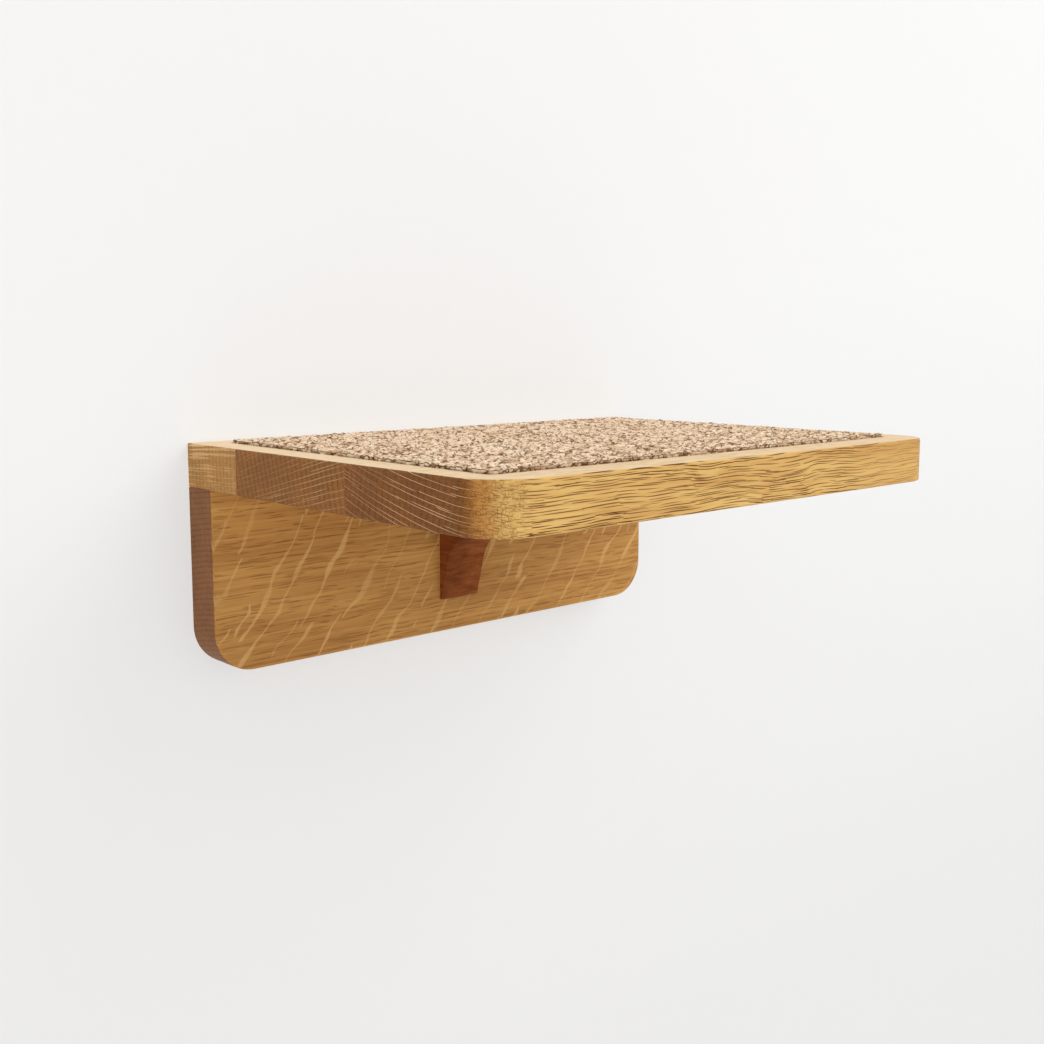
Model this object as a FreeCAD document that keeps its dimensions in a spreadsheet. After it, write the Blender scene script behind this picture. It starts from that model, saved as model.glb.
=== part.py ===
import FreeCAD, Part
import Sketcher
import math
import os

# A cat step for the wall: an oak shelf with a cork mat let into its top, carried by an oak back plate
# and a dark wood bracket, and hung on two keyhole plates that are sunk into the back.
# X runs along the wall, Y into the wall with the wall plane at zero, and Z up.
# The origin is on the wall plane, midway between the round entries of the two keyhole plates.

SIZES = {
    # shelf: three staves glued edge to edge, rear stave against the wall
    "shelf_width": 280,
    "shelf_depth": 210,
    "shelf_thick": 20,
    "shelf_corner_radius": 20,
    "rear_stave_depth": 43,
    "middle_stave_depth": 82,
    # rim left standing round the mat, and the recess that holds the mat
    "rim_side": 14.5,
    "rim_front": 18,
    "rim_rear": 11,
    "recess_depth": 3.5,
    "recess_corner_radius": 3,
    # cork mat
    "mat_thick": 5,
    "mat_gap": 0.2,
    # cracks in the mat's top, where granules have parted
    "crack_pitch": 14,
    "crack_length": 11,
    "crack_width": 3.2,
    "crack_depth": 1,
    "crack_least_share": 0.5,
    "crack_stray_share": 0.6,
    "crack_across_step_share": 0.755,
    "crack_out_step_share": 0.57,
    "crack_turn_step_share": 0.382,
    "crack_length_step_share": 0.618,
    # back plate, whose top edge carries the shelf
    "plate_height": 84,
    "plate_thick": 20,
    "plate_corner_radius": 20,
    # rounding of the edges that a hand can reach
    "edge_ease": 0.8,
    # bracket: a leg let into the plate, an arm under the shelf, a hollow curve between them
    "bracket_width": 24,
    "bracket_reach": 110,
    "bracket_tip_depth": 12,
    "bracket_tip_radius": 5,
    "bracket_foot_margin": 17,
    "bracket_foot_proud": 1.4,
    "bracket_knee_out": 10.1,
    "bracket_knee_drop": 35.1,
    "bracket_curve_radius": 20,
    "housing_depth": 8,
    "glue_gap": 0.1,
    # beech dowels: four between plate and shelf, two between bracket and shelf
    "dowel_diameter": 8,
    "dowel_chamfer": 1,
    "shelf_dowel_length": 30,
    "bracket_dowel_length": 22,
    "dowel_end_margin": 14,
    "dowel_inner_share": 0.36,
    "dowel_depth_share": 0.65,
    "bracket_dowel_rear_share": 0.34,
    "bracket_dowel_front_share": 0.76,
    "dowel_gap": 0.05,
    "dowel_end_gap": 0.5,
    # keyhole plates: steel, sunk flush into the back of the plate
    "hanger_inset": 40,
    "hanger_drop": 44,
    "hanger_width": 22,
    "hanger_thick": 2,
    "hanger_tab": 12.5,
    "hanger_gap": 0.15,
    "keyhole_entry": 10,
    "keyhole_slot": 5,
    "keyhole_rise": 11,
    "head_room": 8,
    "head_side_room": 2,
    # countersunk wood screws for the keyhole plates and for the bracket
    "hanger_screw_diameter": 3.5,
    "hanger_screw_head": 7,
    "hanger_screw_length": 14,
    "bracket_screw_diameter": 4,
    "bracket_screw_head": 8,
    "bracket_screw_length": 30,
    "bracket_screw_upper_drop": 12,
    "bracket_screw_lower_drop": 28,
    "screw_gap": 0.1,
    "screw_tip_share": 0.25,
    "drive_length_share": 0.62,
    "drive_bar_share": 0.16,
    "drive_depth_share": 0.8,
    # how far a cutting shape runs past what it cuts, and how near counts as the same place
    "cut_overrun": 1,
    "same_place": 0.001,
}

doc = FreeCAD.newDocument("cat_step")
sheet = doc.addObject("Spreadsheet::Sheet", "sizes")
for row, (alias, number) in enumerate(SIZES.items(), start=1):
    sheet.set(f"A{row}", alias)
    sheet.set(f"B{row}", str(number))
    sheet.setAlias(f"B{row}", alias)
doc.recompute()


class Size:
    """A number together with the sheet formula that gives it."""

    def __init__(self, number, formula):
        self.number = number
        self.formula = formula

    def joined(self, sign, other, number):
        """The size made of this one and another, with the formula that says so."""
        text = other.formula if isinstance(other, Size) else f"({other})"
        return Size(number, f"({self.formula} {sign} {text})")

    def __add__(self, other):
        return self.joined("+", other, self.number + other.number)

    def __sub__(self, other):
        return self.joined("-", other, self.number - other.number)

    def __mul__(self, other):
        factor = other.number if isinstance(other, Size) else other
        return self.joined("*", other, self.number * factor)

    def __truediv__(self, other):
        return self.joined("/", other, self.number / other)

    def __neg__(self):
        return Size(-self.number, f"(-{self.formula})")


class Sheet:
    """The sheet's sizes by name."""


size = Sheet()
for alias in SIZES:
    setattr(size, alias, Size(sheet.get(alias), f"sizes.{alias}"))
ZERO = Size(0, "0")


# Small tools for sketches, cuts and edges

def bind(thing, property_name, length):
    """Tie a property to the sheet."""
    thing.setExpression(property_name, length.formula)


def place(thing, x=ZERO, y=ZERO, z=ZERO):
    """Set a sub-part's place from the sheet."""
    for axis, length in zip("xyz", (x, y, z)):
        bind(thing, f"Placement.Base.{axis}", length)


def new_body(label):
    """Start a solid of its own."""
    body = doc.addObject("PartDesign::Body", label)
    body.Label = label
    return body


def new_sketch(body, role, lift=ZERO):
    """Start a sketch on an origin plane of the body, lifted along that plane's normal."""
    sketch = body.newObject("Sketcher::SketchObject", f"{body.Name}_sketch")
    plane = next(item for item in body.Origin.OriginFeatures if item.Role == role)
    sketch.AttachmentSupport = [(plane, "")]
    sketch.MapMode = "FlatFace"
    bind(sketch, "AttachmentOffset.Base.z", lift)
    return sketch


def tie_constraint(sketch, constraint, length):
    """Add a dimension to the sketch and tie it to the sheet."""
    index = sketch.addConstraint(constraint)
    sketch.setExpression(f"Constraints[{index}]", length.formula)


def pin_point(sketch, curve, end, across, up):
    """Fix one point of a curve by its distances from the sketch's origin."""
    for kind, axis, length in (("DistanceX", -2, across), ("DistanceY", -1, up)):
        if length.number == 0:
            sketch.addConstraint(Sketcher.Constraint("PointOnObject", curve, end, axis))
        elif length.number > 0:
            held = Sketcher.Constraint(kind, -1, 1, curve, end, length.number)
            tie_constraint(sketch, held, length)
        else:
            held = Sketcher.Constraint(kind, curve, end, -1, 1, -length.number)
            tie_constraint(sketch, held, -length)


def draw_polygon(sketch, corners):
    """Draw a closed outline of straight lines through the corners."""
    points = [FreeCAD.Vector(across.number, up.number, 0) for across, up in corners]
    count = len(points)
    for index in range(count):
        sketch.addGeometry(Part.LineSegment(points[index], points[(index + 1) % count]))
    for index in range(count):
        following = (index + 1) % count
        sketch.addConstraint(Sketcher.Constraint("Coincident", index, 2, following, 1))
    for index, (across, up) in enumerate(corners):
        pin_point(sketch, index, 1, across, up)


def draw_rounded(sketch, centres, radius):
    """Draw the outline that a taut band makes round equal circles, given anticlockwise."""
    points = [FreeCAD.Vector(across.number, up.number, 0) for across, up in centres]
    count = len(points)
    normals = []
    for index in range(count):
        along = (points[(index + 1) % count] - points[index]).normalize()
        normals.append(FreeCAD.Vector(along.y, -along.x, 0))
    for index in range(count):
        shift = normals[index] * radius.number
        sketch.addGeometry(Part.LineSegment(points[index] + shift, points[(index + 1) % count] + shift))
    for index in range(count):
        circle = Part.Circle(points[index], FreeCAD.Vector(0, 0, 1), radius.number)
        first = math.atan2(normals[index - 1].y, normals[index - 1].x)
        last = math.atan2(normals[index].y, normals[index].x)
        if last < first:
            last += math.tau
        sketch.addGeometry(Part.ArcOfCircle(circle, first, last))
    for index in range(count):
        arc = count + index
        sketch.addConstraint(Sketcher.Constraint("Tangent", (index - 1) % count, 2, arc, 1))
        sketch.addConstraint(Sketcher.Constraint("Tangent", arc, 2, index, 1))
        if index > 0:
            sketch.addConstraint(Sketcher.Constraint("Equal", count, arc))
    tie_constraint(sketch, Sketcher.Constraint("Radius", count, radius.number), radius)
    for index, (across, up) in enumerate(centres):
        pin_point(sketch, count + index, 3, across, up)


def draw_circles(sketch, centres, diameter):
    """Draw equal circles."""
    for index, (across, up) in enumerate(centres):
        centre = FreeCAD.Vector(across.number, up.number, 0)
        sketch.addGeometry(Part.Circle(centre, FreeCAD.Vector(0, 0, 1), diameter.number / 2))
        pin_point(sketch, index, 3, across, up)
        held = Sketcher.Constraint("Diameter", index, diameter.number)
        tie_constraint(sketch, held, diameter)


def pad(body, sketch, length, midplane=False):
    """Raise a sketch into a solid."""
    feature = body.newObject("PartDesign::Pad", f"{body.Name}_pad")
    feature.Profile = sketch
    feature.Midplane = midplane
    bind(feature, "Length", length)
    doc.recompute()
    return feature


def cut(body, sketch, depth, along_normal):
    """Sink a sketch into the solid, and stop if nothing came away."""
    before = body.Shape.Volume
    feature = body.newObject("PartDesign::Pocket", f"{body.Name}_cut")
    feature.Profile = sketch
    feature.Reversed = along_normal
    bind(feature, "Length", depth)
    doc.recompute()
    if not body.Shape.Volume < before:
        raise RuntimeError(f"{feature.Name} cuts nothing from {body.Label}")
    return feature


def drill(body, sketch, diameter, depth, head):
    """Drill countersunk holes at a sketch's circles, along the sketch's normal."""
    before = body.Shape.Volume
    feature = body.newObject("PartDesign::Hole", f"{body.Name}_drill")
    feature.Profile = sketch
    doc.recompute()
    feature.Reversed = True
    feature.DepthType = "Dimension"
    feature.DrillPoint = "Flat"
    feature.HoleCutType = "Countersink"
    feature.HoleCutCustomValues = True
    feature.HoleCutCountersinkAngle = 90
    bind(feature, "Diameter", diameter)
    bind(feature, "Depth", depth)
    bind(feature, "HoleCutDiameter", head)
    doc.recompute()
    if not body.Shape.Volume < before:
        raise RuntimeError(f"{feature.Name} cuts nothing from {body.Label}")
    return feature


def near(first, second):
    """Whether two numbers are the same place."""
    return abs(first - second) < size.same_place.number


def edges_where(feature, wanted):
    """Names of the feature's edges that pass a test of their own box."""
    names = []
    for index, edge in enumerate(feature.Shape.Edges, start=1):
        if wanted(edge.BoundBox):
            names.append(f"Edge{index}")
    return names


def round_edges(body, feature, names, radius):
    """Round edges of the latest feature."""
    fillet = body.newObject("PartDesign::Fillet", f"{body.Name}_round")
    fillet.Base = (feature, names)
    bind(fillet, "Radius", radius)
    doc.recompute()
    return fillet


nodes = []


def keep(label, thing):
    """Give a finished sub-part its name."""
    thing.Label = label
    nodes.append(thing)


# Places that several sub-parts share

half_width = size.shelf_width / 2
hole_diameter = size.dowel_diameter + size.dowel_gap * 2
shelf_dowel_sides = (half_width - size.dowel_end_margin, half_width * size.dowel_inner_share)
shelf_dowel_places = []
for side in shelf_dowel_sides:
    shelf_dowel_places += [(-side, -(size.plate_thick / 2)), (side, -(size.plate_thick / 2))]
shelf_dowel_rise = size.shelf_thick * size.dowel_depth_share
shelf_dowel_sink = size.shelf_dowel_length - shelf_dowel_rise

bracket_dowel_places = []
for share in (size.bracket_dowel_rear_share, size.bracket_dowel_front_share):
    bracket_dowel_places.append((ZERO, -(size.plate_thick + size.bracket_reach * share)))
bracket_dowel_rise = (size.shelf_thick - size.recess_depth) * size.dowel_depth_share
bracket_dowel_sink = size.bracket_dowel_length - bracket_dowel_rise

web_thick = size.plate_thick - size.housing_depth
bracket_drop = size.plate_height - size.bracket_foot_margin
bracket_screw_places = (
    (ZERO, -size.bracket_screw_upper_drop),
    (ZERO, -size.bracket_screw_lower_drop),
)

hanger_side = half_width - size.hanger_inset
hanger_sides = (("left", -hanger_side), ("right", hanger_side))
tab_middle = size.keyhole_entry / 2 + (size.head_side_room + size.hanger_tab) / 2
hanger_screw_heights = (-tab_middle, size.keyhole_rise + tab_middle)
hanger_end_radius = size.hanger_width / 2
hanger_end_reach = size.keyhole_entry / 2 + size.hanger_tab - hanger_end_radius
hanger_ends = (-hanger_end_reach, size.keyhole_rise + hanger_end_reach)


# Shelf panel: the three staves as they come out of the glue, machined as one board

panel = new_body("shelf_panel")
place(panel, z=size.hanger_drop)
board = new_sketch(panel, "XY_Plane")
draw_polygon(board, (
    (-half_width, -size.shelf_depth),
    (half_width, -size.shelf_depth),
    (half_width, ZERO),
    (-half_width, ZERO),
))
blank = pad(panel, board, size.shelf_thick)


def front_corner(box):
    """The panel's two upright edges at the front."""
    upright = near(box.ZLength, size.shelf_thick.number)
    return upright and near(box.YMin, -size.shelf_depth.number)


rounded = round_edges(panel, blank, edges_where(blank, front_corner), size.shelf_corner_radius)


def panel_arris(box):
    """The panel's top and bottom edges, apart from those against the wall."""
    return near(box.ZLength, 0) and not near(box.YMin, 0)


eased = round_edges(panel, rounded, edges_where(rounded, panel_arris), size.edge_ease)


def draw_mat_outline(sketch, gap):
    """The mat's recess, or the mat itself with a gap all round."""
    inset = size.recess_corner_radius
    right = half_width - size.rim_side - inset
    front = -(size.shelf_depth - size.rim_front - inset)
    rear = -(size.rim_rear + inset)
    corners = ((-right, front), (right, front), (right, rear), (-right, rear))
    draw_rounded(sketch, corners, size.recess_corner_radius - gap)


recess = new_sketch(panel, "XY_Plane", lift=size.shelf_thick)
draw_mat_outline(recess, ZERO)
cut(panel, recess, size.recess_depth, along_normal=False)

for places, rise in ((shelf_dowel_places, shelf_dowel_rise), (bracket_dowel_places, bracket_dowel_rise)):
    holes = new_sketch(panel, "XY_Plane")
    draw_circles(holes, places, hole_diameter)
    cut(panel, holes, rise + size.dowel_end_gap, along_normal=True)


# Shelf staves: strips of the panel between its glue lines

front_stave_depth = size.shelf_depth - size.rear_stave_depth - size.middle_stave_depth
stave_rear = ZERO
for name, depth in (
    ("rear", size.rear_stave_depth),
    ("middle", size.middle_stave_depth),
    ("front", front_stave_depth),
):
    strip = doc.addObject("Part::Box", f"{name}_strip")
    bind(strip, "Length", size.shelf_width + size.cut_overrun * 2)
    bind(strip, "Width", depth)
    bind(strip, "Height", size.shelf_thick + size.cut_overrun * 2)
    place(
        strip,
        x=-(half_width + size.cut_overrun),
        y=-(stave_rear + depth),
        z=size.hanger_drop - size.cut_overrun,
    )
    stave = doc.addObject("Part::Common", f"shelf_{name}_stave")
    stave.Base = panel
    stave.Tool = strip
    keep(f"shelf_{name}_stave", stave)
    stave_rear = stave_rear + depth


# Cork mat: a sheet of pressed cork granules, glued into the recess and standing a little proud

mat = new_body("cork_sheet")
mat_bottom = size.hanger_drop + size.shelf_thick - size.recess_depth
place(mat, z=mat_bottom)
sheet_outline = new_sketch(mat, "XY_Plane")
draw_mat_outline(sheet_outline, size.mat_gap)
pad(mat, sheet_outline, size.mat_thick)


def scatter(count, step_share):
    """A share between minus a half and a half that jumps about as the count goes up."""
    return count * step_share.number % 1 - 1 / 2


# Cracks on a loose grid over the mat's top, each moved, turned and shortened by its own share.
# A crack is cut by a pyramid on its tip, which stands as high above the mat as it reaches down into it.
mat_middle = (size.rim_rear + size.shelf_depth - size.rim_front) / 2
mat_width = size.shelf_width - size.rim_side * 2
mat_depth = size.shelf_depth - size.rim_front - size.rim_rear
columns = math.floor(mat_width.number / size.crack_pitch.number)
rows = math.floor(mat_depth.number / size.crack_pitch.number)
half_turn = 180
tip_down = FreeCAD.Rotation(FreeCAD.Vector(1, 0, 0), -half_turn / 2)
cracks = []
for count in range(columns * rows):
    row, column = divmod(count, columns)
    stray_across = scatter(count, size.crack_across_step_share) * size.crack_stray_share.number
    stray_out = scatter(count, size.crack_out_step_share) * size.crack_stray_share.number
    lost_share = scatter(count, size.crack_length_step_share) + 1 / 2
    length_share = 1 - lost_share * (1 - size.crack_least_share.number)
    turn = FreeCAD.Rotation(FreeCAD.Vector(0, 0, 1), half_turn * scatter(count, size.crack_turn_step_share))
    crack = doc.addObject("Part::Wedge", "cork_crack")
    crack.Placement = FreeCAD.Placement(FreeCAD.Vector(), turn * tip_down)
    for end, way in (("min", -1), ("max", 1)):
        bind(crack, f"X{end}", size.crack_length * length_share * way)
        bind(crack, f"Z{end}", size.crack_width * way)
        bind(crack, f"X2{end}", ZERO)
        bind(crack, f"Z2{end}", ZERO)
        bind(crack, f"Y{end}", size.crack_depth * way)
    place(
        crack,
        x=size.crack_pitch * (column - (columns - 1) / 2 + stray_across),
        y=size.crack_pitch * (row - (rows - 1) / 2 + stray_out) - mat_middle,
        z=mat_bottom + size.mat_thick,
    )
    cracks.append(crack)
parted = doc.addObject("Part::Compound", "cork_cracks")
parted.Links = cracks
cracked = doc.addObject("Part::Cut", "cork_mat")
cracked.Base = mat
cracked.Tool = parted
keep("cork_mat", cracked)


# Back plate: one oak board with its lower corners rounded, hung on the wall

plate = new_body("back_plate")
place(plate, z=size.hanger_drop)
plate_outline = new_sketch(plate, "XZ_Plane")
draw_polygon(plate_outline, (
    (-half_width, -size.plate_height),
    (half_width, -size.plate_height),
    (half_width, ZERO),
    (-half_width, ZERO),
))
blank = pad(plate, plate_outline, size.plate_thick)


def lower_corner(box):
    """The plate's two lower corner edges, which run from front to back."""
    across = near(box.YLength, size.plate_thick.number)
    return across and near(box.ZMin, -size.plate_height.number)


rounded = round_edges(plate, blank, edges_where(blank, lower_corner), size.plate_corner_radius)


def plate_arris(box):
    """The edges round the plate's front, apart from the one under the shelf."""
    in_front = near(box.YLength, 0) and near(box.YMin, -size.plate_thick.number)
    return in_front and not near(box.ZMin, 0)


round_edges(plate, rounded, edges_where(rounded, plate_arris), size.edge_ease)

# Housing in the plate's front for the bracket's leg, open at the top
housing = new_sketch(plate, "XZ_Plane", lift=size.plate_thick)
housing_side = size.bracket_width / 2 + size.glue_gap
draw_polygon(housing, (
    (-housing_side, -(bracket_drop + size.glue_gap)),
    (housing_side, -(bracket_drop + size.glue_gap)),
    (housing_side, size.cut_overrun),
    (-housing_side, size.cut_overrun),
))
cut(plate, housing, size.housing_depth + size.glue_gap, along_normal=False)

top_holes = new_sketch(plate, "XY_Plane")
draw_circles(top_holes, shelf_dowel_places, hole_diameter)
cut(plate, top_holes, shelf_dowel_sink + size.dowel_end_gap, along_normal=False)

# Screw holes for the bracket, countersunk from the wall side
bracket_screw_hole = size.bracket_screw_diameter + size.screw_gap * 2
web_holes = new_sketch(plate, "XZ_Plane")
draw_circles(web_holes, bracket_screw_places, bracket_screw_hole)
drill(plate, web_holes, bracket_screw_hole, size.plate_thick, size.bracket_screw_head + size.screw_gap * 2)

# Sinkings for the two keyhole plates: a shallow seat, room for a screw head, and pilot holes
for name, side in hanger_sides:
    seat = new_sketch(plate, "XZ_Plane")
    ends = [(side, height - size.hanger_drop) for height in hanger_ends]
    draw_rounded(seat, ends, hanger_end_radius + size.hanger_gap)
    cut(plate, seat, size.hanger_thick, along_normal=True)

    room = new_sketch(plate, "XZ_Plane")
    ends = [(side, -size.hanger_drop), (side, size.keyhole_rise - size.hanger_drop)]
    draw_rounded(room, ends, size.keyhole_entry / 2 + size.head_side_room)
    cut(plate, room, size.hanger_thick + size.head_room, along_normal=True)

    pilots = new_sketch(plate, "XZ_Plane")
    places = [(side, height - size.hanger_drop) for height in hanger_screw_heights]
    draw_circles(pilots, places, size.hanger_screw_diameter + size.screw_gap * 2)
    cut(plate, pilots, size.hanger_screw_length + size.dowel_end_gap, along_normal=True)
keep("back_plate", plate)


# Bracket: dark wood, its leg let into the plate and its arm under the shelf

bracket = new_body("bracket")
place(bracket, z=size.hanger_drop)
profile = new_sketch(bracket, "YZ_Plane")
draw_polygon(profile, (
    (-web_thick, ZERO),
    (-(size.plate_thick + size.bracket_reach), ZERO),
    (-(size.plate_thick + size.bracket_reach), -size.bracket_tip_depth),
    (-(size.plate_thick + size.bracket_knee_out), -size.bracket_knee_drop),
    (-(size.plate_thick + size.bracket_foot_proud), -bracket_drop),
    (-web_thick, -bracket_drop),
))
blank = pad(bracket, profile, size.bracket_width, midplane=True)


def edge_at(out, drop):
    """A test for the edge that runs across the bracket at one corner of its profile."""
    def wanted(box):
        level = near(box.ZMin, -drop.number) and near(box.ZMax, -drop.number)
        return level and near(box.YMin, -(size.plate_thick.number + out.number))
    return wanted


knee = edges_where(blank, edge_at(size.bracket_knee_out, size.bracket_knee_drop))
curved = round_edges(bracket, blank, knee, size.bracket_curve_radius)
nose = edges_where(curved, edge_at(size.bracket_reach, size.bracket_tip_depth))
nosed = round_edges(bracket, curved, nose, size.bracket_tip_radius)


def bracket_arris(box):
    """The edges along the bracket's two sides, from the foot's front to the arm's tip."""
    at_side = near(box.XLength, 0)
    in_front = box.YMax < -size.plate_thick.number
    return at_side and in_front and box.ZMin < 0 and not near(box.ZMax, 0)


round_edges(bracket, nosed, edges_where(nosed, bracket_arris), size.edge_ease)

arm_holes = new_sketch(bracket, "XY_Plane")
draw_circles(arm_holes, bracket_dowel_places, hole_diameter)
cut(bracket, arm_holes, bracket_dowel_sink + size.dowel_end_gap, along_normal=False)

leg_holes = new_sketch(bracket, "XZ_Plane", lift=web_thick)
draw_circles(leg_holes, bracket_screw_places, bracket_screw_hole)
cut(bracket, leg_holes, size.bracket_screw_length - web_thick + size.dowel_end_gap, along_normal=True)
keep("bracket", bracket)


# Dowels: turned beech pins with chamfered ends

def new_dowel(label, across, out, sink, length):
    """One dowel, standing across the joint between the shelf and what carries it."""
    dowel = new_body(label)
    place(dowel, x=across, y=out, z=size.hanger_drop - sink)
    section = new_sketch(dowel, "XY_Plane")
    draw_circles(section, [(ZERO, ZERO)], size.dowel_diameter)
    pin = pad(dowel, section, length)
    ends = edges_where(pin, lambda box: near(box.ZLength, 0))
    chamfer = dowel.newObject("PartDesign::Chamfer", f"{label}_chamfer")
    chamfer.Base = (pin, ends)
    bind(chamfer, "Size", size.dowel_chamfer)
    keep(label, dowel)


shelf_dowel_names = ("outer_left", "outer_right", "inner_left", "inner_right")
for name, (across, out) in zip(shelf_dowel_names, shelf_dowel_places):
    new_dowel(f"shelf_dowel_{name}", across, out, shelf_dowel_sink, size.shelf_dowel_length)
for name, (across, out) in zip(("rear", "front"), bracket_dowel_places):
    new_dowel(f"bracket_dowel_{name}", across, out, bracket_dowel_sink, size.bracket_dowel_length)


# Keyhole plates: stamped steel, a round entry for the screw head and a slot above it for the neck

for name, side in hanger_sides:
    hanger = new_body(f"{name}_keyhole_plate")
    place(hanger, x=side)
    outline = new_sketch(hanger, "XZ_Plane")
    draw_rounded(outline, [(ZERO, height) for height in hanger_ends], hanger_end_radius)
    pad(hanger, outline, size.hanger_thick)

    slot = new_sketch(hanger, "XZ_Plane")
    draw_rounded(slot, ((ZERO, ZERO), (ZERO, size.keyhole_rise)), size.keyhole_slot / 2)
    cut(hanger, slot, size.hanger_thick, along_normal=True)

    entry = new_sketch(hanger, "XZ_Plane")
    draw_circles(entry, [(ZERO, ZERO)], size.keyhole_entry)
    cut(hanger, entry, size.hanger_thick, along_normal=True)

    screw_holes = new_sketch(hanger, "XZ_Plane")
    clear_diameter = size.hanger_screw_diameter + size.screw_gap * 2
    draw_circles(screw_holes, [(ZERO, height) for height in hanger_screw_heights], clear_diameter)
    drill(
        hanger,
        screw_holes,
        clear_diameter,
        size.hanger_thick + size.cut_overrun,
        size.hanger_screw_head + size.screw_gap * 2,
    )
    keep(f"{name}_keyhole_plate", hanger)


# Screws: countersunk, with a crossed drive in the head and a plain shank

def new_screw(label, across, height, diameter, head, length):
    """One screw driven in from the wall side, its head flush with the back."""
    screw = new_body(label)
    place(screw, x=across, z=height)
    head_depth = (head - diameter) / 2
    neck = diameter / 2
    half_section = new_sketch(screw, "XY_Plane")
    draw_polygon(half_section, (
        (ZERO, ZERO),
        (ZERO, -length),
        (neck, -(length - length * size.screw_tip_share)),
        (neck, -head_depth),
        (head / 2, ZERO),
    ))
    turned = screw.newObject("PartDesign::Revolution", f"{label}_turned")
    turned.Profile = half_section
    turned.ReferenceAxis = (half_section, ["V_Axis"])
    turned.Angle = 360
    doc.recompute()

    reach = head * size.drive_length_share / 2
    bar = head * size.drive_bar_share / 2
    drive = new_sketch(screw, "XZ_Plane")
    draw_polygon(drive, (
        (bar, bar),
        (bar, reach),
        (-bar, reach),
        (-bar, bar),
        (-reach, bar),
        (-reach, -bar),
        (-bar, -bar),
        (-bar, -reach),
        (bar, -reach),
        (bar, -bar),
        (reach, -bar),
        (reach, bar),
    ))
    cut(screw, drive, head_depth * size.drive_depth_share, along_normal=True)
    return screw


hanger_screws = []
for name, side in hanger_sides:
    for level, height in zip(("lower", "upper"), hanger_screw_heights):
        hanger_screws.append(new_screw(
            f"{name}_{level}_hanger_screw",
            side,
            height,
            size.hanger_screw_diameter,
            size.hanger_screw_head,
            size.hanger_screw_length,
        ))
bracket_screws = []
for level, (across, drop) in zip(("upper", "lower"), bracket_screw_places):
    bracket_screws.append(new_screw(
        f"{level}_bracket_screw",
        across,
        size.hanger_drop + drop,
        size.bracket_screw_diameter,
        size.bracket_screw_head,
        size.bracket_screw_length,
    ))
for label, screws in (("hanger_screws", hanger_screws), ("bracket_screws", bracket_screws)):
    group = doc.addObject("Part::Compound", label)
    group.Links = screws
    keep(label, group)


# Every sub-part is tested before any is written

doc.recompute()
for thing in doc.Objects:
    if "Invalid" in thing.State or "Error" in thing.State:
        raise RuntimeError(f"{thing.Label} failed: {thing.State}")
for thing in nodes:
    if thing.Shape.isNull() or not thing.Shape.isValid():
        raise RuntimeError(f"{thing.Label} has no sound shape")

os.makedirs("parts", exist_ok=True)
for thing in nodes:
    thing.Shape.exportStep(f"parts/{thing.Label}.step")
    print(f"{thing.Label}: {len(thing.Shape.Solids)} solid, {thing.Shape.Volume:.1f} mm3")
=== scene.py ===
import math

import bmesh
import bpy
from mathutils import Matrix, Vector


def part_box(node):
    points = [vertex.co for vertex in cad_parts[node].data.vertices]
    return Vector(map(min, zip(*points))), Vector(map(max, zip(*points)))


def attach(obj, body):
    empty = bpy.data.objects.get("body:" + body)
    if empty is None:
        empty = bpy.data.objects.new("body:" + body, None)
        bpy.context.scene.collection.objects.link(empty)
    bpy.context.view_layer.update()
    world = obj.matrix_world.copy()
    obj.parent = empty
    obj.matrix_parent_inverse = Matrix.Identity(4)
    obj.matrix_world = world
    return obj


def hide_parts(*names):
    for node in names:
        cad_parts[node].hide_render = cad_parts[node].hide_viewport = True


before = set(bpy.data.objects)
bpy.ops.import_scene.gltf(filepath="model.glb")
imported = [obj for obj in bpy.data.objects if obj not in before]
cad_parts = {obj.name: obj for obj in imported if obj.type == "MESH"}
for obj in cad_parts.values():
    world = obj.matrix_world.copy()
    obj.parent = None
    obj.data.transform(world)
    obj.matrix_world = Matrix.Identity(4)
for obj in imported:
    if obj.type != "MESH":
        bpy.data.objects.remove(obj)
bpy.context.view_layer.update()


# Shelf staves: three strips of planed oak, glued edge to edge and machined as one board.
# Each strip came from a different part of the log, so its rays and rings run their own way on the sawn end.
# The wood is oiled, and the sawn ends have soaked up more oil than the faces.

def paint(red, green, blue):
    """A colour written as screen values, for a shader socket."""
    screen = (red / 255, green / 255, blue / 255)
    light = [c / 12.92 if c <= 0.04045 else ((c + 0.055) / 1.055) ** 2.4 for c in screen]
    return (*light, 1.0)


def add(tree, kind, inputs=None, **settings):
    """Put a node into a tree, with its settings, its values and its links."""
    node = tree.nodes.new(kind)
    for name, value in settings.items():
        setattr(node, name, value)
    for key, value in (inputs or {}).items():
        if isinstance(value, bpy.types.NodeSocket):
            tree.links.new(value, node.inputs[key])
        else:
            node.inputs[key].default_value = value
    return node


def reckon(tree, operation, *values):
    """One step of arithmetic in a node tree."""
    inputs = dict(enumerate(values))
    return add(tree, "ShaderNodeMath", inputs, operation=operation).outputs[0]


def shift(tree, operation, inputs):
    """One step of arithmetic on a place, a direction or a colour."""
    return add(tree, "ShaderNodeVectorMath", inputs, operation=operation).outputs[0]


def stretch(tree, spot, per_metre):
    """A place in the wood, counted in steps of its own length along each axis."""
    return shift(tree, "MULTIPLY", {0: spot, 1: per_metre})


def parts(tree, vector):
    """The parts of a place or a direction along X, Y and Z."""
    return add(tree, "ShaderNodeSeparateXYZ", {0: vector}).outputs


def own_place(tree):
    """The place on the piece itself, in metres."""
    return add(tree, "ShaderNodeTexCoord").outputs["Object"]


def facing(tree):
    """The way that the surface faces, split along X, Y and Z."""
    return parts(tree, add(tree, "ShaderNodeNewGeometry").outputs["Normal"])


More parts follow.
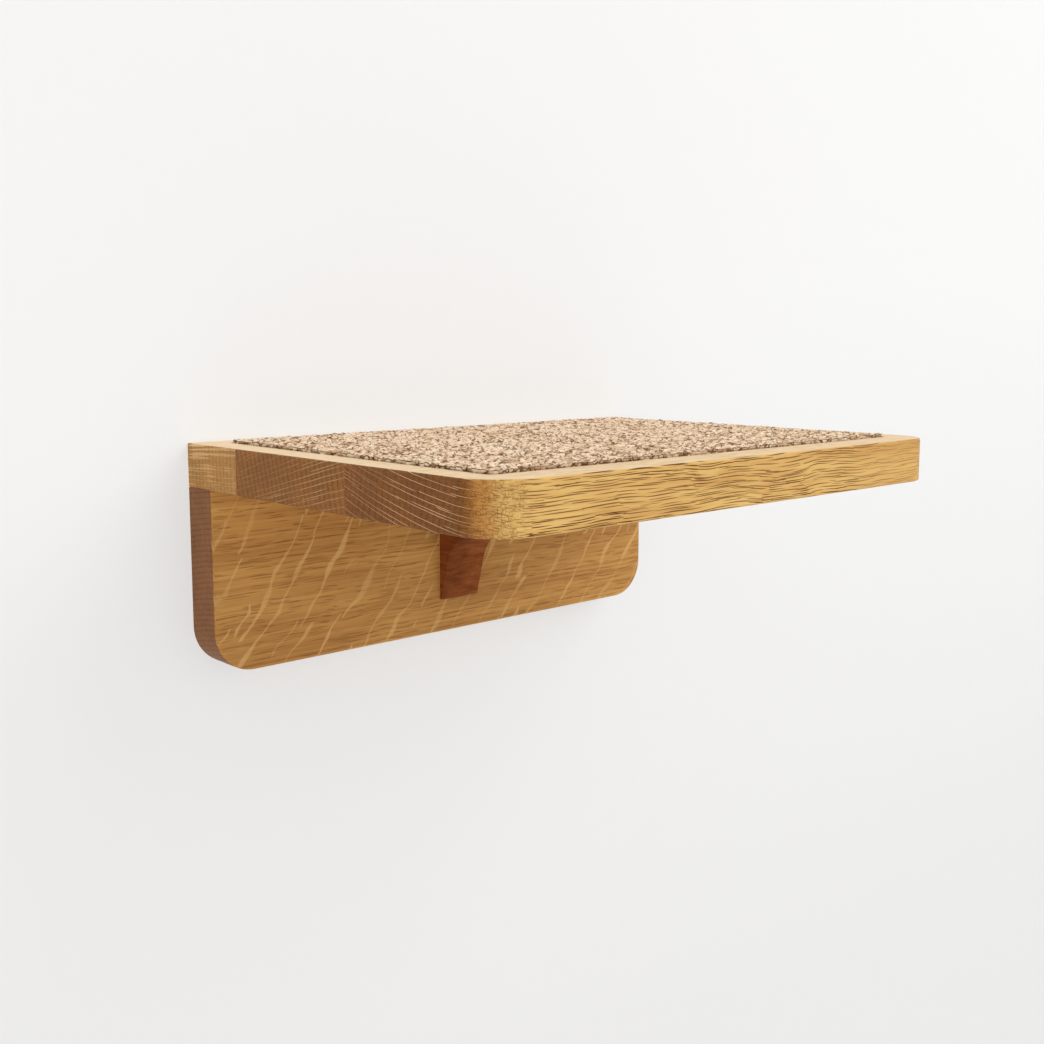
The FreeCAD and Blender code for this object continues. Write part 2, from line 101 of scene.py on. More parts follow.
def noise(tree, spot, scale, detail):
    """Random noise at a place, to be read as a value or as a colour."""
    inputs = {"Vector": spot, "Scale": scale, "Detail": detail}
    return add(tree, "ShaderNodeTexNoise", inputs).outputs


def cell_edge(tree, spot, scale):
    """How far a place lies from the edge of its own cell."""
    inputs = {"Vector": spot, "Scale": scale}
    return add(tree, "ShaderNodeTexVoronoi", inputs, feature="DISTANCE_TO_EDGE").outputs["Distance"]


def ease(tree, value, start, end):
    """A soft step from 0 at start to 1 at end."""
    inputs = {"Value": value, "From Min": start, "From Max": end}
    return add(tree, "ShaderNodeMapRange", inputs, interpolation_type="SMOOTHSTEP").outputs[0]


def fade(tree, value, start, end):
    """A soft step from 1 at start to 0 at end."""
    return reckon(tree, "SUBTRACT", 1.0, ease(tree, value, start, end))


def blend(tree, share, first, second):
    """The first value, turning into the second as the share goes to 1."""
    return add(tree, "ShaderNodeMix", {0: share, 2: first, 3: second}).outputs[0]


def blend_colours(tree, share, first, second):
    """The first colour, turning into the second as the share goes to 1."""
    return add(tree, "ShaderNodeMix", {0: share, 6: first, 7: second}, data_type="RGBA").outputs[2]


def new_group(name, inputs, outputs, kind="ShaderNodeTree"):
    """Start a node group with named sockets, and give its tree and the sockets to read."""
    tree = bpy.data.node_groups.new(name, kind)
    for label, value in inputs:
        tree.interface.new_socket(name=label, in_out="INPUT", socket_type=f"NodeSocket{value}")
    for label, value in outputs:
        tree.interface.new_socket(name=label, in_out="OUTPUT", socket_type=f"NodeSocket{value}")
    return tree, add(tree, "NodeGroupInput").outputs


oak_grain, given = new_group(
    "oak_grain",
    (
        ("Heart Y", "Float"), ("Heart Z", "Float"), ("Heart Distance", "Float"), ("Wave", "Float"),
        ("Ring Width", "Float"), ("Ring Depth", "Float"),
        ("Ray Spacing", "Float"), ("Ray Slope", "Float"), ("Ray Bend", "Float"), ("Ray Bend Y", "Float"),
        ("Ray Wander", "Float"), ("Ray Swell", "Float"),
        ("Ray On End", "Float"), ("Ray On Face", "Float"),
        ("Pore Length", "Float"), ("Pore Spacing", "Float"), ("Pore Width", "Float"),
        ("Plain From", "Float"), ("Pore On Face", "Float"), ("Pore On End", "Float"),
        ("Face Light", "Color"), ("Face Dark", "Color"), ("Turn", "Color"),
        ("End", "Color"), ("Ray", "Color"), ("Pore", "Color"), ("Top", "Color"),
    ),
    (("Color", "Color"), ("Roughness", "Float"), ("Height", "Float")),
)


def shaken(tree, spot, per_metre, reach):
    """A place moved about by a slow random drift, as the fibres of a living tree wander."""
    drift = noise(tree, stretch(tree, spot, per_metre), 1.0, 1.0)["Color"]
    swing = shift(tree, "SUBTRACT", {0: drift, 1: (0.5, 0.5, 0.5)})
    sway = shift(tree, "SCALE", {0: swing, "Scale": reach})
    return shift(tree, "ADD", {0: spot, 1: sway})


def round_the_heart(tree, spot, given):
    """Where a place lies in the log: along it, out from its heart, and the way round the heart."""
    along, across, up = parts(tree, spot)
    heart_y = reckon(tree, "SUBTRACT", across, given["Heart Y"])
    heart_z = reckon(tree, "SUBTRACT", up, given["Heart Z"])
    square = reckon(tree, "MULTIPLY_ADD", heart_y, heart_y, reckon(tree, "MULTIPLY", heart_z, heart_z))
    turn = reckon(tree, "ARCTAN2", heart_y, heart_z)
    return along, reckon(tree, "SQRT", square), reckon(tree, "MULTIPLY", turn, given["Heart Distance"])


def cell_offset(tree, along, out, way):
    """How far a place lies from the middle of its own cell, along each axis of the log."""
    place = add(tree, "ShaderNodeCombineXYZ", {0: along, 1: out, 2: way}).outputs[0]
    middle = add(tree, "ShaderNodeTexVoronoi", {"Vector": place, "Scale": 1.0}).outputs["Position"]
    gap = shift(tree, "SUBTRACT", {0: place, 1: middle})
    return parts(tree, shift(tree, "ABSOLUTE", {0: gap}))


spot = own_place(oak_grain)
fibre = shaken(oak_grain, spot, (30, 40, 40), given["Wave"])
along, out, way = round_the_heart(oak_grain, fibre, given)

# Yearly rings: open early wood at the start of each ring, dense late wood after it
ring = reckon(oak_grain, "FRACT", reckon(oak_grain, "DIVIDE", out, given["Ring Width"]))
early_wood = fade(oak_grain, ring, 0.0, 0.45)

# Pores: fine vessels along the grain, long dashes on a face and dots where they are cut across
pore_end_taper = 0.55
pore_side_taper = 0.20
line_core = 0.45
off_along, off_out, off_way = cell_offset(
    oak_grain,
    reckon(oak_grain, "DIVIDE", along, given["Pore Length"]),
    reckon(oak_grain, "DIVIDE", out, given["Pore Spacing"]),
    reckon(oak_grain, "DIVIDE", way, given["Pore Spacing"]),
)
end_square = reckon(oak_grain, "MULTIPLY", off_along, off_along)
side_square = reckon(oak_grain, "MULTIPLY", off_out, off_out)
taper = reckon(oak_grain, "MULTIPLY", end_square, pore_end_taper)
taper = reckon(oak_grain, "MULTIPLY_ADD", side_square, pore_side_taper, taper)
pore_edge = reckon(oak_grain, "DIVIDE", reckon(oak_grain, "ADD", off_way, taper), given["Pore Width"])
pore = fade(oak_grain, pore_edge, line_core, 1.0)
pore = reckon(oak_grain, "MULTIPLY", pore, reckon(oak_grain, "MULTIPLY_ADD", early_wood, 0.25, 0.80))
past_plain = ease(oak_grain, reckon(oak_grain, "SUBTRACT", along, given["Plain From"]), 0.0, 0.05)
pore = reckon(oak_grain, "MULTIPLY", pore, reckon(oak_grain, "MULTIPLY_ADD", past_plain, -0.5, 1.0))

# Rays: thin sheets that run out from the heart, lines on a sawn end and flecks on a face cut along them
rays_along = 24.0
rays_out = 17.0
ray_least_width = 0.036
ray_spot = shaken(oak_grain, spot, (38, 60, 60), given["Ray Wander"])
along, out, way = round_the_heart(oak_grain, ray_spot, given)
way = reckon(oak_grain, "MULTIPLY_ADD", along, given["Ray Slope"], way)
from_bend = reckon(oak_grain, "SUBTRACT", parts(oak_grain, spot)[1], given["Ray Bend Y"])
bend = reckon(oak_grain, "MULTIPLY", from_bend, from_bend)
way = reckon(oak_grain, "MULTIPLY_ADD", bend, given["Ray Bend"], way)
off_way = cell_offset(
    oak_grain,
    reckon(oak_grain, "MULTIPLY", along, rays_along),
    reckon(oak_grain, "MULTIPLY", out, rays_out),
    reckon(oak_grain, "DIVIDE", way, given["Ray Spacing"]),
)[2]
swell = ease(oak_grain, noise(oak_grain, spot, 60.0, 1.0)["Fac"], 0.42, 0.74)
ray_width = reckon(oak_grain, "MULTIPLY_ADD", swell, given["Ray Swell"], ray_least_width)
ray = fade(oak_grain, reckon(oak_grain, "DIVIDE", off_way, ray_width), line_core, 1.0)
fading = ease(oak_grain, noise(oak_grain, spot, 28.0, 1.0)["Fac"], 0.36, 0.62)
ray = reckon(oak_grain, "MULTIPLY", ray, reckon(oak_grain, "MULTIPLY_ADD", fading, 0.6, 0.4))

# How far the surface has turned from the face to the sawn end
facing_x, facing_y, facing_z = facing(oak_grain)
level = reckon(oak_grain, "MULTIPLY", facing_y, facing_y)
level = reckon(oak_grain, "MULTIPLY_ADD", facing_x, facing_x, level)
level = reckon(oak_grain, "MAXIMUM", reckon(oak_grain, "SQRT", level), 0.05)
turned = reckon(oak_grain, "DIVIDE", reckon(oak_grain, "ABSOLUTE", facing_x), level)
on_turn = ease(oak_grain, turned, 0.50, 0.93)
on_end = ease(oak_grain, turned, 0.86, 1.0)
on_top = ease(oak_grain, facing_z, 0.97, 0.999)
slant = ease(oak_grain, turned, 0.05, 0.45)
slant = reckon(oak_grain, "MULTIPLY", slant, fade(oak_grain, turned, 0.90, 0.99))

# Colour: light and dark streaks along the fibres, then the pores
streak = noise(oak_grain, stretch(oak_grain, fibre, (9, 620, 620)), 1.0, 3.0)["Fac"]
patch = noise(oak_grain, stretch(oak_grain, fibre, (9, 60, 60)), 1.0, 2.0)["Fac"]
tone = reckon(oak_grain, "ADD", ease(oak_grain, streak, 0.30, 0.72), ease(oak_grain, patch, 0.30, 0.70))
tone = reckon(oak_grain, "MULTIPLY", tone, 0.45)
tone = reckon(oak_grain, "MULTIPLY_ADD", early_wood, given["Ring Depth"], tone)
tone = reckon(oak_grain, "MULTIPLY_ADD", past_plain, 0.25, tone)
tone = add(oak_grain, "ShaderNodeClamp", {"Value": tone}).outputs[0]
face = blend_colours(oak_grain, tone, given["Face Light"], given["Face Dark"])
wood = blend_colours(oak_grain, on_turn, face, given["Turn"])
end_tone = reckon(oak_grain, "MULTIPLY_ADD", tone, -0.45, 1.28)
end_tone = reckon(oak_grain, "MULTIPLY_ADD", early_wood, -0.22, end_tone)
end = shift(oak_grain, "SCALE", {0: given["End"], "Scale": end_tone})
wood = blend_colours(oak_grain, on_end, wood, end)
# Faces that look up take a paler colour: painted light falling from above
wood = blend_colours(oak_grain, reckon(oak_grain, "MULTIPLY", on_top, 0.8), wood, given["Top"])
plain = reckon(oak_grain, "MULTIPLY_ADD", on_top, -0.8, 1.0)
plain = reckon(oak_grain, "MULTIPLY_ADD", slant, -0.5, plain)
pore_share = blend(oak_grain, on_end, given["Pore On Face"], given["Pore On End"])
pore_share = reckon(oak_grain, "MULTIPLY", pore_share, plain)
wood = blend_colours(oak_grain, reckon(oak_grain, "MULTIPLY", pore, pore_share), wood, given["Pore"])

# Where the surface turns, each fibre is cut on the slant, and its torn ends make a net of fine dark lines
ragged = stretch(oak_grain, shaken(oak_grain, fibre, (420, 420, 420), 0.0012), (860, 860, 620))
net = fade(oak_grain, cell_edge(oak_grain, ragged, 1.0), 0.02, 0.16)
torn = ease(oak_grain, noise(oak_grain, spot, 260.0, 1.0)["Fac"], 0.30, 0.60)
torn = reckon(oak_grain, "MULTIPLY", torn, 0.48)
net = reckon(oak_grain, "MULTIPLY", reckon(oak_grain, "MULTIPLY", net, slant), torn)
wood = blend_colours(oak_grain, net, wood, given["Pore"])

# The rays lie over the rest, pale and a little smoother than the wood round them
ray_share = blend(oak_grain, on_end, given["Ray On Face"], given["Ray On End"])
shown_ray = reckon(oak_grain, "MULTIPLY", ray, ray_share)
wood = blend_colours(oak_grain, shown_ray, wood, given["Ray"])
gloss = reckon(oak_grain, "MULTIPLY_ADD", pore, 0.18, 0.54)
gloss = reckon(oak_grain, "MULTIPLY_ADD", shown_ray, -0.10, gloss)
relief = reckon(oak_grain, "MULTIPLY_ADD", pore, -0.5, reckon(oak_grain, "MULTIPLY", streak, 0.35))
add(oak_grain, "NodeGroupOutput", {"Color": wood, "Roughness": gloss, "Height": relief})


def new_finish(name):
    """Start a material, and give it with its tree and its shader."""
    finish = bpy.data.materials.new(name)
    finish.use_nodes = True
    return finish, finish.node_tree, finish.node_tree.nodes["Principled BSDF"]


def colour_surface(tree, shader, colour, roughness):
    """Feed a shader with the colour and the roughness of its surface."""
    tree.links.new(colour, shader.inputs["Base Color"])
    tree.links.new(roughness, shader.inputs["Roughness"])


def emboss(tree, shader, height, strength, depth):
    """Give a shader a fine relief."""
    bump = add(tree, "ShaderNodeBump", {"Height": height, "Strength": strength, "Distance": depth})
    tree.links.new(bump.outputs[0], shader.inputs["Normal"])


def oiled_oak(name, **values):
    """An oak finish for one board, with the heart of its log in its own place."""
    finish, tree, shader = new_finish(name)
    board = add(tree, "ShaderNodeGroup", node_tree=oak_grain)
    for label, value in values.items():
        board.inputs[label.replace("_", " ").title()].default_value = value
    colour_surface(tree, shader, board.outputs["Color"], board.outputs["Roughness"])
    emboss(tree, shader, board.outputs["Height"], 0.45, 0.0003)
    shader.inputs["Specular IOR Level"].default_value = 0.22
    return finish


def finish_node(name, finish):
    """Give a CAD node its finish."""
    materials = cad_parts[name].data.materials
    materials.clear()
    materials.append(finish)


shelf_oak = {
    "heart_distance": 0.4, "ray_slope": 0.01,
    "face_light": paint(236, 194, 116), "face_dark": paint(204, 151, 80),
    "turn": paint(196, 134, 64), "top": paint(223, 198, 159),
}
shelf_pores = {
    "pore_length": 0.016, "pore_spacing": 0.0014, "pore_width": 0.24,
    "plain_from": 1.0, "pore_on_face": 0.5, "pore": paint(124, 74, 6),
}
straight_rays = {"ray_bend": 0.0, "ray_bend_y": 0.0}

finish_node("shelf_rear_stave", oiled_oak(
    "oak_rear_stave", **shelf_oak, **shelf_pores, **straight_rays,
    heart_y=0.38, heart_z=0.037, wave=0.002, ring_width=0.0032, ring_depth=0.1,
    ray_spacing=0.0027, ray_wander=0.0012, ray_swell=0.34, ray_on_end=0.9, ray_on_face=0.1,
    pore_on_end=0.25, end=paint(178, 128, 66), ray=paint(232, 192, 134)))
finish_node("shelf_middle_stave", oiled_oak(
    "oak_middle_stave", **shelf_oak, **shelf_pores, **straight_rays,
    heart_y=0.304, heart_z=-0.043, wave=0.002, ring_width=0.0034, ring_depth=0.4,
    ray_spacing=0.0029, ray_wander=0.0006, ray_swell=0.03, ray_on_end=0.55, ray_on_face=0.1,
    pore_on_end=0.45, end=paint(139, 87, 32), ray=paint(224, 180, 128)))
finish_node("shelf_front_stave", oiled_oak(
    "oak_front_stave", **shelf_oak,
    heart_y=0.227, heart_z=0.134, wave=0.005, ring_width=0.0034, ring_depth=0.14,
    ray_spacing=0.0027, ray_bend=-1.4, ray_bend_y=-0.165, ray_wander=0.0004, ray_swell=0.008,
    ray_on_end=0.95, ray_on_face=0.04,
    pore_length=0.022, pore_spacing=0.0011, pore_width=0.26,
    plain_from=0.05, pore_on_face=1.0, pore_on_end=0.68,
    end=paint(126, 75, 24), ray=paint(236, 196, 148), pore=paint(100, 54, 0)))


# Cork mat: a sheet of pressed cork granules, glued into the recess and standing a little proud of the rim.
# The granules stand up unevenly and the cut edge crumbles, so top and edge are built as real bumps.

mat_low, mat_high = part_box("cork_mat")
mat_corner = 0.003
mat_step_x, mat_step_y = 0.0006, 0.0009
mat_inset = 0.0006
mat_sink = 0.0002
edge_drops = (0.0005, 0.0008, 0.0010, 0.0025)
mat_top = mat_high.z - mat_sink
half_x = (mat_high.x - mat_low.x) / 2 - mat_inset
half_y = (mat_high.y - mat_low.y) / 2 - mat_inset
mid_y = (mat_high.y + mat_low.y) / 2

sheet = bmesh.new()
bmesh.ops.create_grid(sheet, x_segments=round(2 * half_x / mat_step_x),
                      y_segments=round(2 * half_y / mat_step_y), size=1)
for vert in sheet.verts:
    x, y = vert.co.x * half_x, vert.co.y * half_y
    out_x = abs(x) - (half_x - mat_corner)
    out_y = abs(y) - (half_y - mat_corner)
    if out_x > 0 and out_y > 0:
        shrink = max(out_x, out_y) / math.hypot(out_x, out_y)
        x -= math.copysign(out_x * (1 - shrink), x)
        y -= math.copysign(out_y * (1 - shrink), y)
    vert.co = (x, y + mid_y, mat_top)
rim = [edge for edge in sheet.edges if edge.is_boundary]
for drop in edge_drops:
    made = bmesh.ops.extrude_edge_only(sheet, edges=rim)["geom"]
    for vert in (item for item in made if isinstance(item, bmesh.types.BMVert)):
        vert.co.z -= drop
    rim = [item for item in made if isinstance(item, bmesh.types.BMEdge) and item.is_boundary]
for vert in {v for edge in rim for v in edge.verts}:
    vert.co.z = mat_low.z
bmesh.ops.contextual_create(sheet, geom=rim)
bmesh.ops.recalc_face_normals(sheet, faces=sheet.faces)
cork_mesh = bpy.data.meshes.new("pressed_cork")
sheet.to_mesh(cork_mesh)
sheet.free()
cork = bpy.data.objects.new("pressed_cork", cork_mesh)
bpy.context.scene.collection.objects.link(cork)

granule_size = 0.0027
granule_height = 0.0008
floor_margin = 0.0001

# Colour: each granule has its own tone, with specks, open joints darkened partly by painted shade in the
# gaps, and painted shade on the slopes between them
cork_grain, given = new_group(
    "cork_grain",
    (("Granules Per Metre", "Float"), ("Rim Height", "Float")),
    (("Color", "Color"), ("Roughness", "Float"), ("Height", "Float")),
)
spot = own_place(cork_grain)
per_metre = given["Granules Per Metre"]
jitter = noise(cork_grain, spot, 700.0, 2.0)["Color"]
jitter = shift(cork_grain, "SCALE", {0: jitter, "Scale": 0.0009})
crumb = shift(cork_grain, "ADD", {0: spot, 1: jitter})
granule = add(cork_grain, "ShaderNodeTexVoronoi", {"Vector": crumb, "Scale": per_metre}).outputs["Color"]
granule_tone = add(cork_grain, "ShaderNodeSeparateColor", {0: granule}).outputs[0]
open_joint = noise(cork_grain, spot, 260.0, 1.0)["Fac"]
crack = fade(cork_grain, cell_edge(cork_grain, crumb, per_metre), 0.03, 0.17)
crack = reckon(cork_grain, "MULTIPLY", crack, ease(cork_grain, open_joint, 0.37, 0.52))
speck = noise(cork_grain, spot, 1500.0, 2.0)["Fac"]
cork_tone = add(cork_grain, "ShaderNodeValToRGB", {0: granule_tone}).outputs[0]
ramp = cork_tone.node.color_ramp
ramp.elements[0].position, ramp.elements[0].color = 0.0, paint(146, 104, 70)
ramp.elements[1].position, ramp.elements[1].color = 1.0, paint(248, 224, 196)
for place, colour in ((0.14, paint(192, 154, 118)), (0.5, paint(226, 195, 159))):
    ramp.elements.new(place).color = colour
speckled = reckon(cork_grain, "MULTIPLY", ease(cork_grain, speck, 0.56, 0.70), 0.45)
crumbled = blend_colours(cork_grain, speckled, cork_tone, paint(150, 108, 76))
# Open joints between granules: partly their own darker colour, partly painted shade in the gaps
crumbled = blend_colours(cork_grain, crack, crumbled, paint(112, 74, 36))
# Painted shade on the slopes of the granules, leaving the flat tops and the upright edge alone
upright = facing(cork_grain)[2]
steep = fade(cork_grain, upright, 0.66, 0.93)
steep = reckon(cork_grain, "MULTIPLY", steep, ease(cork_grain, upright, 0.30, 0.55))
steep = reckon(cork_grain, "MULTIPLY", steep, 0.95)
crumbled = blend_colours(cork_grain, steep, crumbled, paint(70, 42, 18))

# The cut edge is torn, and a broken line of painted shadow darkens its foot where it meets the rim
torn_edge_shadow = fade(cork_grain, upright, 0.05, 0.55)
low_down = reckon(cork_grain, "SUBTRACT", given["Rim Height"], parts(cork_grain, spot)[2])
torn_edge_shadow = reckon(cork_grain, "MULTIPLY", torn_edge_shadow, ease(cork_grain, low_down, -0.0006, -0.0001))
torn = noise(cork_grain, spot, 480.0, 2.0)["Fac"]
torn_edge_shadow = reckon(cork_grain, "MULTIPLY", torn_edge_shadow, ease(cork_grain, torn, 0.40, 0.60))
torn_edge_shadow = reckon(cork_grain, "MULTIPLY", torn_edge_shadow, 0.55)
crumbled = blend_colours(cork_grain, torn_edge_shadow, crumbled, paint(92, 58, 32))
add(cork_grain, "NodeGroupOutput", {
    "Color": crumbled,
    "Roughness": reckon(cork_grain, "MULTIPLY_ADD", crack, 0.1, 0.82),
    "Height": reckon(cork_grain, "MULTIPLY_ADD", crack, -1.0, reckon(cork_grain, "MULTIPLY", speck, 0.5)),
})

raw_cork, tree, shader = new_finish("raw_cork")
grains = add(tree, "ShaderNodeGroup", node_tree=cork_grain)
grains.inputs["Granules Per Metre"].default_value = 1 / granule_size
grains.inputs["Rim Height"].default_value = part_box("shelf_middle_stave")[1].z
colour_surface(tree, shader, grains.outputs["Color"], grains.outputs["Roughness"])
emboss(tree, shader, grains.outputs["Height"], 0.6, 0.0005)
shader.inputs["Specular IOR Level"].default_value = 0.2

# Shape: every granule is a flat-topped cell, lifted by its own amount, with a groove round it
crumble, given = new_group(
    "cork_crumble",
    (
        ("Mat", "Geometry"), ("Granule Size", "Float"), ("Bump Height", "Float"),
        ("Floor Height", "Float"), ("Finish", "Material"),
    ),
    (("Mat", "Geometry"),),
    kind="GeometryNodeTree",
)
place = add(crumble, "GeometryNodeInputPosition").outputs[0]
per_metre = reckon(crumble, "DIVIDE", 1.0, given["Granule Size"])
cell = add(crumble, "ShaderNodeTexVoronoi", {"Vector": place, "Scale": per_metre}).outputs["Color"]
own_lift = reckon(crumble, "MULTIPLY_ADD", parts(crumble, cell)[0], 0.8, -0.4)
flat_top = ease(crumble, cell_edge(crumble, place, per_metre), 0.0, 0.22)
rise = reckon(crumble, "MULTIPLY_ADD", flat_top, 0.7, -0.5)
rise = reckon(crumble, "ADD", rise, own_lift)
fine = noise(crumble, place, 900.0, 2.0)["Fac"]
rise = reckon(crumble, "ADD", rise, reckon(crumble, "MULTIPLY_ADD", fine, 0.4, -0.20))
rise = reckon(crumble, "MULTIPLY", rise, given["Bump Height"])
outward = add(crumble, "GeometryNodeInputNormal").outputs[0]
push = shift(crumble, "SCALE", {0: outward, "Scale": rise})
above_floor = reckon(crumble, "GREATER_THAN", parts(crumble, place)[2], given["Floor Height"])
bumped = add(crumble, "GeometryNodeSetPosition",
             {"Geometry": given["Mat"], "Selection": above_floor, "Offset": push}).outputs[0]
realized = add(crumble, "GeometryNodeRealizeInstances", {0: bumped}).outputs[0]
coloured = add(crumble, "GeometryNodeSetMaterial",
               {"Geometry": realized, "Material": given["Finish"]}).outputs[0]
add(crumble, "NodeGroupOutput", {0: coloured})


def grow(piece, tree, **values):
    """Run a geometry tree on a piece and keep the result as its plain mesh."""
    modifier = piece.modifiers.new(tree.name, "NODES")
    modifier.node_group = tree
    for item in tree.interface.items_tree:
        key = item.name.lower().replace(" ", "_")
        if item.in_out == "INPUT" and key in values:
            modifier[item.identifier] = values[key]
    shape = piece.evaluated_get(bpy.context.evaluated_depsgraph_get())
    grown = bpy.data.meshes.new_from_object(shape)
    piece.modifiers.clear()
    piece.data = grown


grow(cork, crumble, granule_size=granule_size, bump_height=granule_height,
     floor_height=mat_low.z + floor_margin, finish=raw_cork)
for polygon in cork.data.polygons:
    polygon.use_smooth = True
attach(cork, "root")
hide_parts("cork_mat")


# Back plate: one quarter-sawn oak board that hangs on the wall and carries the shelf's rear edge.
# It is cut along the rays, which show as pale flecks that lean across the thin lines of the grain.

finish_node("back_plate", oiled_oak(
    "oak_back_plate", **straight_rays,
    heart_y=-0.044, heart_z=-0.20, heart_distance=0.2, wave=0.0014, ring_width=0.0024, ring_depth=0.3,
    ray_spacing=0.0036, ray_slope=0.19, ray_wander=0.0018, ray_swell=0.10,
    ray_on_end=0.1, ray_on_face=0.62,
    pore_length=0.018, pore_spacing=0.0006, pore_width=0.2,
    plain_from=1.0, pore_on_face=0.47, pore_on_end=0.2,
    face_light=paint(212, 160, 88), face_dark=paint(172, 118, 58), turn=paint(156, 102, 52),
    end=paint(132, 84, 46), ray=paint(228, 184, 118), pore=paint(118, 72, 30), top=paint(208, 156, 86)))


# Bracket: a dark hardwood corbel, its leg let into the plate and its arm under the shelf.
# Its grain runs along the arm, so the front shows the close, dark end of the wood, and painted shade
# darkens it further at the top and towards the left, where less light reaches under the shelf.

dark_wood, tree, shader = new_finish("dark_bracket_wood")
spot = own_place(tree)
band = noise(tree, stretch(tree, spot, (90, 40, 380)), 1.0, 4.0)["Fac"]
pit = add(tree, "ShaderNodeTexVoronoi", {"Vector": stretch(tree, spot, (950, 110, 950)), "Scale": 1.0})
pit = fade(tree, pit.outputs["Distance"], 0.14, 0.34)
brown = blend_colours(tree, ease(tree, band, 0.32, 0.68), paint(130, 68, 32), paint(160, 92, 48))
on_side = ease(tree, reckon(tree, "ABSOLUTE", facing(tree)[0]), 0.3, 0.9)
across, _, up = parts(tree, spot)
# Painted shade: the front is darker at the top under the shelf and towards the left, and lighter low down
# on the right where the light falls; the sides take an even middle share
low_down = ease(tree, reckon(tree, "MULTIPLY", up, -1.0), -0.05, 0.0)
painted_light = reckon(tree, "MULTIPLY", ease(tree, across, -0.014, 0.014), low_down)
end_grain_and_painted_shade = blend(tree, on_side, reckon(tree, "SUBTRACT", 1.0, painted_light), 0.45)
brown = blend_colours(tree, reckon(tree, "MULTIPLY", end_grain_and_painted_shade, 0.46), brown, paint(84, 40, 16))
brown = blend_colours(tree, reckon(tree, "MULTIPLY", pit, 0.5), brown, paint(62, 30, 16))
colour_surface(tree, shader, brown, reckon(tree, "MULTIPLY_ADD", pit, 0.15, 0.62))
emboss(tree, shader, reckon(tree, "MULTIPLY_ADD", pit, -1.0, band), 0.3, 0.0002)
shader.inputs["Specular IOR Level"].default_value = 0.04
finish_node("bracket", dark_wood)


# Dowels: turned beech pins glued across the joints, four under the shelf's rear edge and two over the arm.
# They are hidden once the step is glued up.

beech, tree, shader = new_finish("raw_beech")
fleck = noise(tree, stretch(tree, own_place(tree), (1400, 1400, 160)), 1.0, 2.0)["Fac"]
pale = blend_colours(tree, ease(tree, fleck, 0.4, 0.66), paint(222, 184, 142), paint(184, 138, 98))
colour_surface(tree, shader, pale, reckon(tree, "MULTIPLY_ADD", fleck, 0.2, 0.5))
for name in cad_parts:
    if "_dowel_" in name:
        finish_node(name, beech)


# Keyhole plates and screws: stamped and turned steel with a thin zinc coat, sunk into the plate's back.
# The coat is cloudy and slightly blue, with fine marks from the tumbling drum.

zinc, tree, shader = new_finish("zinc_plated_steel")
spot = own_place(tree)
cloud = noise(tree, spot, 420.0, 3.0)["Fac"]
scratch = noise(tree, stretch(tree, spot, (3200, 3200, 260)), 1.0, 2.0)["Fac"]
coat = blend_colours(tree, ease(tree, cloud, 0.35, 0.65), paint(196, 198, 200), paint(168, 172, 178))
colour_surface(tree, shader, coat, reckon(tree, "MULTIPLY_ADD", scratch, 0.3, 0.22))
emboss(tree, shader, scratch, 0.15, 0.0001)
shader.inputs["Metallic"].default_value = 1.0
for name in ("left_keyhole_plate", "right_keyhole_plate", "hanger_screws", "bracket_screws"):
    finish_node(name, zinc)


# Wall and floor: a plain white painted wall that the step hangs on, and a pale floor well below it.
# The wall is clear from behind, so that the back of the step can be seen.

def plain_sheet(name, corners):
    """A flat sheet for the room."""
    mesh = bpy.data.meshes.new(name)
    mesh.from_pydata(corners, [], [range(len(corners))])
    thing = bpy.data.objects.new(name, mesh)
    bpy.context.scene.collection.objects.link(thing)
    return thing


def pale_paint(name, colour, glow):
    """Matt white paint, partly lit by itself so that it stays clean, with the glow painted a little
    brighter towards the top, and clear from behind.
    """
    finish, tree, shader = new_finish(name)
    shader.inputs["Base Color"].default_value = colour
    shader.inputs["Roughness"].default_value = 0.9
    shader.inputs["Specular IOR Level"].default_value = 0.1
    seen = add(tree, "ShaderNodeLightPath").outputs
    seen_by = reckon(tree, "MAXIMUM", seen["Is Camera Ray"], seen["Is Glossy Ray"])
    seen_by = reckon(tree, "MAXIMUM", seen_by, seen["Is Transmission Ray"])
    # The glow fades towards the bottom: painted light falling from above
    height = parts(tree, own_place(tree))[2]
    strength = add(tree, "ShaderNodeMapRange", {"Value": height, "From Min": -0.35, "From Max": 0.15,
                                                "To Min": glow - 0.12, "To Max": glow}).outputs[0]
    even = add(tree, "ShaderNodeEmission", {"Color": (1.0, 0.996, 0.988, 1.0), "Strength": strength})
    clean = add(tree, "ShaderNodeMixShader",
                {0: reckon(tree, "MULTIPLY", seen_by, 0.58), 1: shader.outputs[0], 2: even.outputs[0]})
    behind = add(tree, "ShaderNodeNewGeometry").outputs["Backfacing"]
    clear = add(tree, "ShaderNodeBsdfTransparent")
    both = add(tree, "ShaderNodeMixShader", {0: behind, 1: clean.outputs[0], 2: clear.outputs[0]})
    tree.links.new(both.outputs[0], tree.nodes["Material Output"].inputs["Surface"])
    return finish


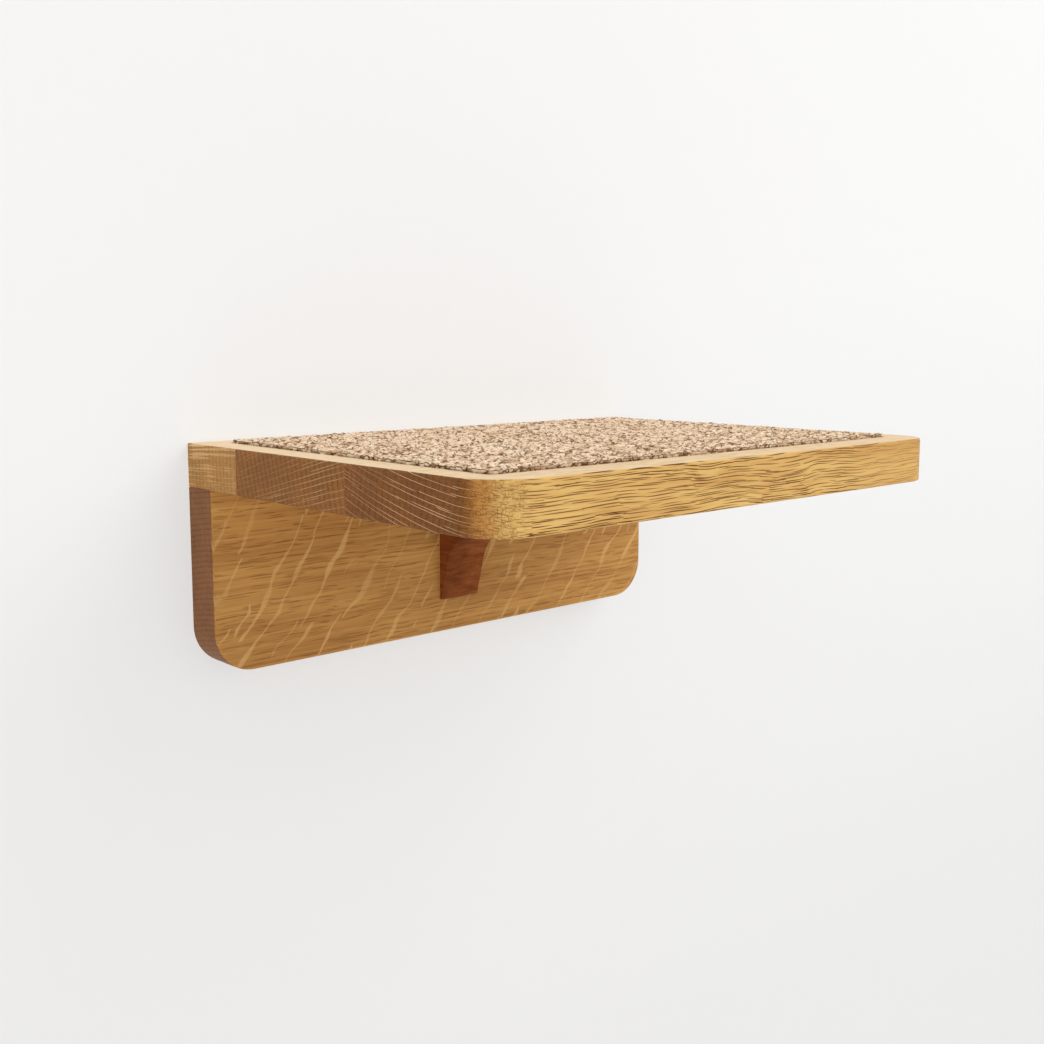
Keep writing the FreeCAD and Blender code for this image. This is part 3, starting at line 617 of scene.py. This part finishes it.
room = 6.0
wall_gap = 0.0004
floor_height = -1.1
wall = plain_sheet("wall", [(-room, wall_gap, floor_height), (room, wall_gap, floor_height),
                            (room, wall_gap, room), (-room, wall_gap, room)])
wall.data.materials.append(pale_paint("wall_paint", (0.93, 0.929, 0.926, 1.0), 0.93))
wall.visible_shadow = False
floor = plain_sheet("floor", [(-room, -room, floor_height), (room, -room, floor_height),
                              (room, room, floor_height), (-room, room, floor_height)])
floor.data.materials.append(pale_paint("floor_paint", (0.78, 0.776, 0.768, 1.0), 0.90))


# Light: one broad soft lamp from the right and above, and a weaker one from the left.
# A third stands behind the wall for the back of the step, and the room itself is an even white.

def soft_lamp(name, place, aim, power):
    """A square soft lamp, turned to face a point."""
    lamp = bpy.data.lights.new(name, "AREA")
    lamp.size = 1.6
    lamp.energy = power
    thing = bpy.data.objects.new(name, lamp)
    thing.location = place
    thing.rotation_euler = (Vector(aim) - Vector(place)).to_track_quat("-Z", "Y").to_euler()
    bpy.context.scene.collection.objects.link(thing)


shelf_middle = (0.0, -0.08, 0.03)
soft_lamp("key_lamp", (1.1, -1.5, 1.3), shelf_middle, 18)
soft_lamp("fill_lamp", (-1.6, -1.3, 0.7), shelf_middle, 4)
soft_lamp("rear_lamp", (0.3, 1.8, 0.9), (0.0, 0.0, 0.0), 16)
world = bpy.data.worlds.new("white_room")
bpy.context.scene.world = world
world.use_nodes = True
world.node_tree.nodes["Background"].inputs["Color"].default_value = (1.0, 1.0, 1.0, 1.0)
world.node_tree.nodes["Background"].inputs["Strength"].default_value = 0.76
bpy.context.scene.view_settings.view_transform = "Standard"


# Camera: a little above the shelf and to its left, as a person standing beside the wall would see it.
# Its place and its lens were fitted to the straight edges of the shelf and the plate.

camera_tilt = 6.755
camera_turn = 42.45
eye = bpy.data.cameras.new("camera")
eye.sensor_width = 36.0
eye.lens = 41.55
eye.shift_y = -0.035
eye.shift_x = -0.0049
eye.clip_start, eye.clip_end = 0.01, 50.0
camera = bpy.data.objects.new("camera", eye)
camera.location = (-0.3922, -0.5021, 0.1088)
camera.rotation_euler = (math.radians(90 - camera_tilt), 0.0, math.radians(-camera_turn))
bpy.context.scene.collection.objects.link(camera)
bpy.context.scene.camera = camera
